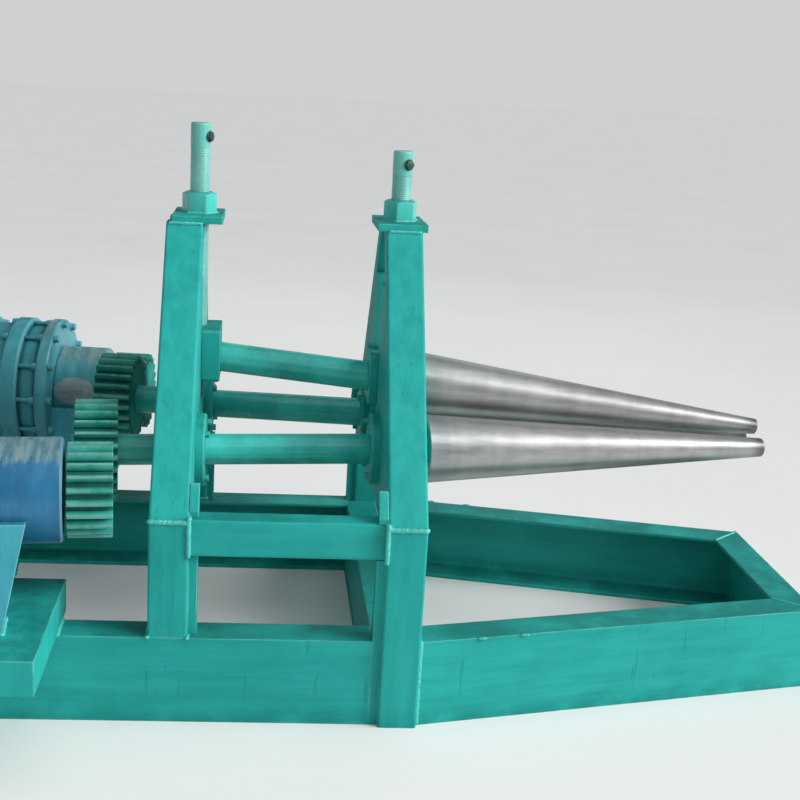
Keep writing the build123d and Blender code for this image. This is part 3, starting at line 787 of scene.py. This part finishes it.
def gear_finish(name, joint, teeth):
    """Duller green enamel, pale on the tips and edges from wear and a painted highlight, and greasy in
    the roots.
    """
    point, axis = spin_line(joint)
    pitch_radius = gear_module * teeth / 2
    finish = Finish(name)
    radius = finish.axis_distance(point, axis)
    patches = finish.noise(22.0, detail=5.0)
    fine = finish.noise(120.0, detail=3.0)
    colour = finish.mix(patches.rising(0.35, 0.65), shade(34, 142, 130), shade(58, 174, 160))
    # Tooth tips turn pale: rubbed paint and a painted highlight.
    tips = radius.rising(pitch_radius + 0.2 * gear_module, pitch_radius + 0.8 * gear_module)
    worn_and_lit = tips * (0.6 * patches + 0.5 * fine).rising(0.36, 0.62)
    colour = finish.mix(0.62 * worn_and_lit, colour, shade(126, 172, 160))
    below_tooth = 1 - radius.rising(pitch_radius - gear_module, pitch_radius - 0.1 * gear_module)
    above_disc = radius.rising(pitch_radius - 2 * gear_module, pitch_radius - 1.3 * gear_module)
    roots = below_tooth * above_disc
    colour = finish.mix(0.65 * roots, colour, shade(14, 52, 46))
    round_edge, edge = finish.worn_and_lit_edge(radius=0.0012, low=0.02, high=0.2)
    # Edges turn pale: paint worn thin and a painted highlight.
    colour = finish.mix(0.5 * edge * fine.rising(0.3, 0.6), colour, shade(150, 206, 192))
    relief = 0.6 * patches + 0.3 * fine
    bump = finish.bump(relief, distance=0.0008, strength=0.4, surface=round_edge)
    side_face = finish.facing(axis).rising(0.7, 0.9)
    rough = 0.38 + 0.18 * patches - 0.18 * roots + 0.4 * side_face
    body = {"Base Color": colour, "Roughness": rough, "Metallic": 0.3 * worn_and_lit, "Normal": bump}
    body["Specular IOR Level"] = 0.12
    return finish.done(body)


for side in ("front", "rear"):
    roll_paint = gear_finish(f"{side}_roll_gear_finish", f"{side}_roll_spin", roll_teeth)
    pinion_paint = gear_finish(f"{side}_pinion_finish", f"{side}_pinion_spin", pinion_teeth)
    finish_node(f"{side}_roll_gear", roll_paint)
    finish_node(f"{side}_pinion", pinion_paint)

# Reducers: turned housings bolted together from discs and rings, one in blue enamel and one in teal.
# The necks are grey on top from rubbed paint and a painted sheen, rubbed grey at their rims, and the
# teal one carries a blank oval plate.
neck_start = {"front": 0.039, "rear": 0.045}
neck_rim = (0.0024, 0.0036)
disc_start = {"front": 0.203, "rear": 0.136}
disc_thickness = 0.023
groove_length = 0.034
groove_shade_width = 0.012
groove_shade_fade = 0.001
groove_shade_reach = (0.1185, 0.1225)
inner_disc_thickness = 0.032
ring_length = 0.045
disc_bolt_radius = 0.1222
disc_bolt_count = 12
disc_bolt_head = (0.0125, 0.007)
bolt_shank = 0.004
bolt_shank_edge = 0.0004
blue = (shade(42, 118, 158), shade(28, 96, 136), shade(108, 168, 200), shade(18, 60, 92))
teal = (shade(88, 172, 182), shade(62, 146, 158), shade(150, 212, 218), shade(34, 96, 106))
light_blue = (shade(76, 166, 180), shade(52, 142, 160), shade(156, 218, 228), shade(30, 100, 120))
blue_enamel = enamel("blue_enamel", blue, low_grime=False)
teal_enamel = enamel("teal_enamel", teal, low_grime=False)
light_blue_enamel = enamel("light_blue_enamel", light_blue, low_grime=False)
paints = {"front": blue_enamel, "rear": teal_enamel}
drive_line = {side: spin_line(f"{side}_pinion_spin") for side in ("front", "rear")}


def neck_finish(side, paint):
    """A reducer's neck, grey in streaks on top from rubbed paint and a painted sheen, and pale at the
    rim by the pinion.
    """
    light, dark, _, deep = paint
    point, axis = drive_line[side]
    finish = Finish(f"{side}_neck_enamel")
    patches = finish.noise(15.0, detail=5.0)
    runs = finish.noise(14.0, stretch=(5, 1, 1), detail=5.0)
    colour = finish.mix((0.5 * patches + 0.5 * runs).rising(0.36, 0.64), dark, light)
    # Upward faces of the neck turn grey in streaks: rubbed paint and a painted sheen from above.
    rub = finish.noise(34.0, stretch=(2.2, 0.5, 0.5), detail=5.0, roughness=0.65)
    worn_and_lit = (finish.facing((0, 0, 1)) + 0.5 * (rub - 0.5)).rising(0.72, 0.86)
    worn_and_sheen_top = finish.mix(rub.rising(0.4, 0.6), shade(78, 120, 122), shade(124, 150, 146))
    colour = finish.mix(0.8 * worn_and_lit, colour, worn_and_sheen_top)
    behind = finish.along_axis(point, -axis)
    rim = 1 - behind.rising(neck_start[side] + neck_rim[0], neck_start[side] + neck_rim[1])
    colour = finish.mix(0.5 * rim, colour, shade(116, 152, 162))
    spots = finish.noise(60.0, detail=3.0, shift=(2, 5, 1)).rising(0.68, 0.74)
    colour = finish.mix(0.5 * spots, colour, deep)
    round_edge = finish.add("ShaderNodeBevel", {"samples": 4}, {"Radius": 0.002})
    relief = 0.6 * patches + 0.4 * rub
    bump = finish.bump(relief, distance=0.001, strength=0.4, surface=round_edge)
    rough = 0.32 + 0.2 * worn_and_lit + 0.1 * patches
    return finish.done({"Base Color": colour, "Roughness": rough, "Normal": bump})


def groove_painted_shade(side):
    """The share of painted shade in the groove between a reducer's discs, most of it in the corners."""
    point, axis = drive_line[side]
    start = disc_start[side] + disc_thickness
    end = start + groove_length

    def share(finish):
        behind = finish.along_axis(point, -axis)
        left = behind.rising(end - groove_shade_width, end)
        right = 1 - behind.rising(start, start + groove_shade_width)
        ahead = 1 - behind.rising(end, end + groove_shade_fade)
        inside = behind.rising(start - groove_shade_fade, start) * ahead
        sunk = 1 - finish.axis_distance(point, axis).rising(*groove_shade_reach)
        return inside * sunk * (0.15 + 0.65 * (left + right))

    return share


for side, paint in (("front", blue), ("rear", teal)):
    finish_node(f"{side}_reducer_neck", neck_finish(side, paint))
    painted_shade = groove_painted_shade(side)
    housing_enamel = enamel(f"{side}_housing_enamel", paint, low_grime=False, painted_shade_share=painted_shade)
    finish_node(f"{side}_reducer_housing", housing_enamel)
disc_bolt = hex_bolt(*disc_bolt_head)
bpy.ops.mesh.primitive_cylinder_add(vertices=12, radius=bolt_shank, depth=groove_length)
shank = bpy.context.active_object
softened(bolt_shank_edge, 1, lift=groove_length / 2)
for side in ("front", "rear"):
    point, axis = drive_line[side]
    groove = disc_start[side] + disc_thickness
    ring = groove + groove_length + inner_disc_thickness
    rear_disc = ring + ring_length
    bolts = []
    for pattern, behind, direction in (
        (disc_bolt, disc_start[side], axis),
        (disc_bolt, groove, -axis),
        (shank, groove, -axis),
        (disc_bolt, ring, -axis),
        (disc_bolt, rear_disc, axis),
    ):
        centre = point - axis * behind
        bolts += circle_of(pattern, centre, direction, disc_bolt_radius, disc_bolt_count)
    joined(bolts, f"{side}_reducer_bolts", paints[side])
bpy.data.objects.remove(shank)

plate_size = (0.080, 0.054)
plate_thickness = 0.0009
plate_behind = 0.0935
plate_sleeve_length = 0.09
plate_cutter_depth = 0.06
plate_height_angle = math.radians(7)
neck_radius = 0.079
point, axis = drive_line["rear"]
inboard = axis.cross(Vector((0, 0, 1)))
outward = math.cos(plate_height_angle) * inboard + Vector((0, 0, math.sin(plate_height_angle)))
outward.normalize()
sleeve_radius = neck_radius + plate_thickness
bpy.ops.mesh.primitive_cylinder_add(vertices=160, radius=sleeve_radius, depth=plate_sleeve_length)
blank_plate = bpy.context.active_object
plate_middle = point - axis * plate_behind
blank_plate.matrix_world = placed(plate_middle, axis)
settle(blank_plate)
bpy.ops.mesh.primitive_cylinder_add(vertices=64, radius=0.5, depth=plate_cutter_depth)
oval = bpy.context.active_object
oval.scale = (plate_size[0], plate_size[1], 1)
settle(oval)
oval_turn = Matrix((axis, outward.cross(axis), outward)).transposed().to_4x4()
oval.matrix_world = Matrix.Translation(plate_middle + outward * neck_radius) @ oval_turn
settle(oval)
carved(blank_plate, oval, "INTERSECT")
plate_finish = Finish("blank_plate_finish")
plate_cloud = plate_finish.noise(40.0, stretch=(1, 1, 3), detail=6.0)
plate_tone = plate_finish.mix(plate_cloud.rising(0.35, 0.65), shade(136, 160, 160), shade(170, 180, 184))
plate_body = {"Base Color": plate_tone, "Metallic": 0.35, "Roughness": 0.34 + 0.2 * plate_cloud}
joined([blank_plate], "rear_neck_blank_plate", plate_finish.done(plate_body))

# Motors: finned aluminium bodies with a terminal box on top, a blind plug in the box's cable hole,
# and a pressed fan cowl whose end is a ring grille. They are painted like their reducers.
motor_start = {"front": 0.395, "rear": 0.328}
motor_length = 0.230
cowl_radius = 0.098
cowl_length = 0.080
cowl_round = 0.014
grille_rings = 5
ring_land = 0.0042
ring_gap = 0.0088
grille_depth = 0.008
hub_radius = cowl_radius - cowl_round - grille_rings * (ring_land + ring_gap)
spoke_count = 8
spoke_width = 0.005
spoke_drop = 0.0008
spoke_edge = 0.0008
screw_head = (0.007, 0.0025)
plug_head = (0.022, 0.009)
lid_screw_place = (0.041, 0.036)
cowl_screw_count = 4
cowl_screw_rise = 0.012
plug_height = 0.468
box_half_length = 0.046


def grille_cowl():
    """The fan cowl, pointing up from the origin: a drum with a round far rim and a ring grille."""
    bpy.ops.mesh.primitive_cylinder_add(vertices=72, radius=cowl_radius, depth=cowl_length)
    cowl = bpy.context.active_object
    cowl.location.z = cowl_length / 2
    settle(cowl)
    pick(cowl, "FACE", lambda side_face: side_face.normal.z > 0.9)
    bpy.ops.mesh.region_to_loop()
    bpy.ops.mesh.bevel(offset=cowl_round, segments=5)
    bpy.ops.object.mode_set(mode="OBJECT")
    pick(cowl, "FACE", lambda side_face: side_face.normal.z > 0.99 and len(side_face.vertices) > 10)
    for ring in range(grille_rings):
        bpy.ops.mesh.inset(thickness=ring_land)
        drawn_up(-grille_depth)
        bpy.ops.mesh.inset(thickness=ring_gap)
        drawn_up(grille_depth)
    bpy.ops.object.mode_set(mode="OBJECT")
    spokes = []
    reach = cowl_radius - cowl_round - hub_radius
    for index in range(spoke_count):
        bpy.ops.mesh.primitive_cube_add(size=1.0)
        spoke = bpy.context.active_object
        spoke.scale = (reach, spoke_width, grille_depth)
        spoke.location = (hub_radius + reach / 2, 0, cowl_length - grille_depth / 2 - spoke_drop)
        settle(spoke)
        softened(spoke_edge, 1)
        spoke.matrix_world = Matrix.Rotation(2 * math.pi * index / spoke_count, 4, "Z")
        settle(spoke)
        spokes.append(spoke)
    return merged([cowl] + spokes)


cowl_pattern = grille_cowl()
small_screw = hex_bolt(*screw_head)
plug = hex_bolt(*plug_head)
for side in ("front", "rear"):
    point, axis = drive_line[side]
    finish_node(f"{side}_motor", paints[side])
    cowl_place = placed(point - axis * (motor_start[side] + motor_length), -axis)
    cowl = laid(cowl_pattern, cowl_place)
    joined([cowl], f"{side}_grille_cowl", paints[side])
    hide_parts(f"{side}_fan_cowl")
    box_centre = point - axis * (motor_start[side] + motor_length / 2)
    lid_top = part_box(f"{side}_motor")[1].z
    across = axis.cross(Vector((0, 0, 1)))
    small_parts = []
    for along_sign in (-1, 1):
        for across_sign in (-1, 1):
            corner = box_centre + along_sign * lid_screw_place[0] * axis
            corner += across_sign * lid_screw_place[1] * across
            small_parts.append(laid(small_screw, Matrix.Translation((corner.x, corner.y, lid_top))))
    plug_place = box_centre - axis * box_half_length
    small_parts.append(laid(plug, placed((plug_place.x, plug_place.y, plug_height), -axis)))
    for index in range(cowl_screw_count):
        turn = Matrix.Rotation((0.5 + index) * 2 * math.pi / cowl_screw_count, 4, "Z")
        outwards = Matrix.Translation((cowl_radius, 0, cowl_screw_rise))
        outwards @= Matrix.Rotation(math.pi / 2, 4, "Y")
        small_parts.append(laid(small_screw, cowl_place @ turn @ outwards))
    joined(small_parts, f"{side}_motor_screws", paints[side])
for pattern in (cowl_pattern, small_screw, plug, disc_bolt):
    bpy.data.objects.remove(pattern)

# Feet and platforms: light blue welded feet under the reducers, standing on green platforms of
# folded plate that were laid over the sills and welded to them.
foot_half_width = 0.140
foot_end_slope = 0.031
foot_side_bead = 0.0042
foot_end_bead = 0.0046
foot_end_share = 0.6
foot_gap_to_disc = 0.002
platform_side_bead = 0.0036
platform_end_bead = 0.0042
platform_trim = 0.02
foot_low = {"front": 0.089, "rear": 0.045}
for side, sign in (("front", -1), ("rear", 1)):
    finish_node(f"{side}_reducer_foot", light_blue_enamel)
    finish_node(f"{side}_platform", green_enamel)
    point, axis = drive_line[side]
    across = axis.cross(Vector((0, 0, 1)))
    platform_low, platform_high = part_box(f"{side}_platform")
    near_end = point - axis * (foot_low[side] + foot_end_slope)
    far_end = point - axis * (disc_start[side] - foot_gap_to_disc)
    foot_beads = []
    for edge in (-1, 1):
        near = near_end + edge * foot_half_width * across
        far = far_end + edge * foot_half_width * across
        start = (near.x, near.y, platform_high.z)
        foot_beads.append(weld(start, (far.x, far.y, platform_high.z), foot_side_bead))
        inner = near_end + edge * foot_end_share * foot_half_width * across
        foot_beads.append(weld(start, (inner.x, inner.y, platform_high.z), foot_end_bead))
    joined(foot_beads, f"{side}_foot_welds", highlit_weld_enamel, crease=80)
    sill_y = sign * front_face
    right_x = platform_high.x
    side_start = (platform_low.x + platform_trim, sill_y, sill_top)
    side_end = (right_x - platform_trim, sill_y, sill_top)
    end_start = (right_x, sill_y, sill_top)
    end_end = (right_x, sill_y - sign * flange, sill_top)
    platform_beads = [
        weld(side_start, side_end, platform_side_bead),
        weld(end_start, end_end, platform_end_bead),
    ]
    joined(platform_beads, f"{side}_platform_welds", highlit_weld_enamel, crease=80)
